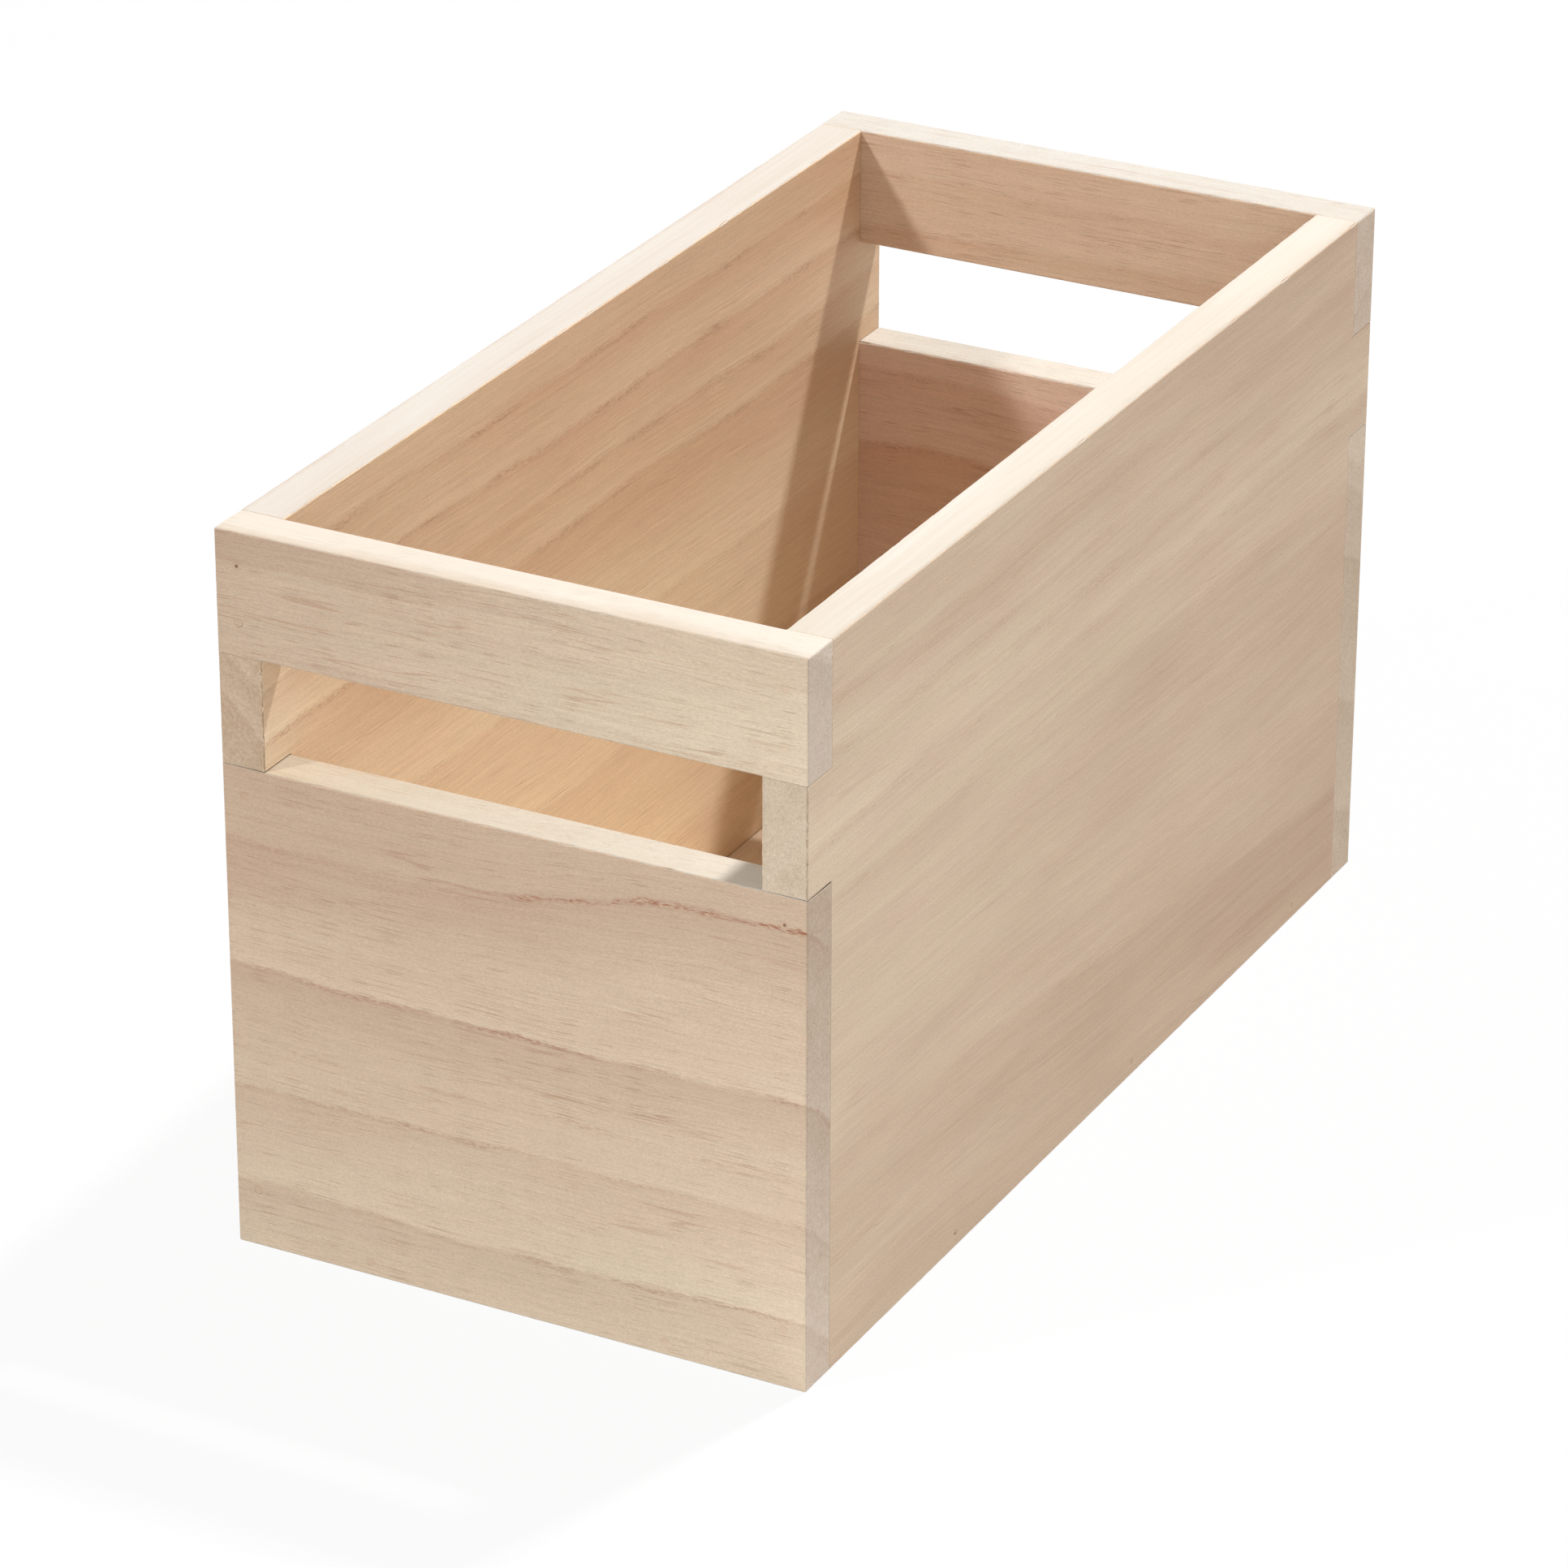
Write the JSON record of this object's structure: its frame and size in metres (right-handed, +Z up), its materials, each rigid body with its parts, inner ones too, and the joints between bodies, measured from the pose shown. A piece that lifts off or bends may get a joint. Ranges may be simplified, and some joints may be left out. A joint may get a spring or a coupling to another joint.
{
  "type": "storage bin",
  "caption": "Open-topped rectangular wooden storage bin with a wide hand slot through each end, made of finger-lapped, pinned boards on a thin bottom panel.",
  "frame": {"origin": "centre of the bin's footprint, on the surface it stands on", "axes": "+Z up; +Y from the front slot to the back slot, along the bin's length; +X to the right, seen from the front"},
  "size_m": [0.125, 0.255, 0.152],
  "materials": {
    "board_wood": "pale open-pored wood, sanded smooth, bare or with a dull clear coat",
    "panel_wood": "pale thin wood panel, sanded smooth",
    "brad_steel": "bright drawn steel wire"
  },
  "bodies": {
    "root": {"left_side": "board_wood", "right_side": "board_wood", "front_rail": "board_wood", "back_rail": "board_wood", "front_board": "board_wood", "back_board": "board_wood", "bottom_panel": "panel_wood", "front_rail_brads": "brad_steel", "back_rail_brads": "brad_steel", "front_board_brads": "brad_steel", "back_board_brads": "brad_steel", "front_bottom_brads": "brad_steel", "back_bottom_brads": "brad_steel", "left_bottom_brads": "brad_steel", "right_bottom_brads": "brad_steel"}
  },
  "joints": []
}
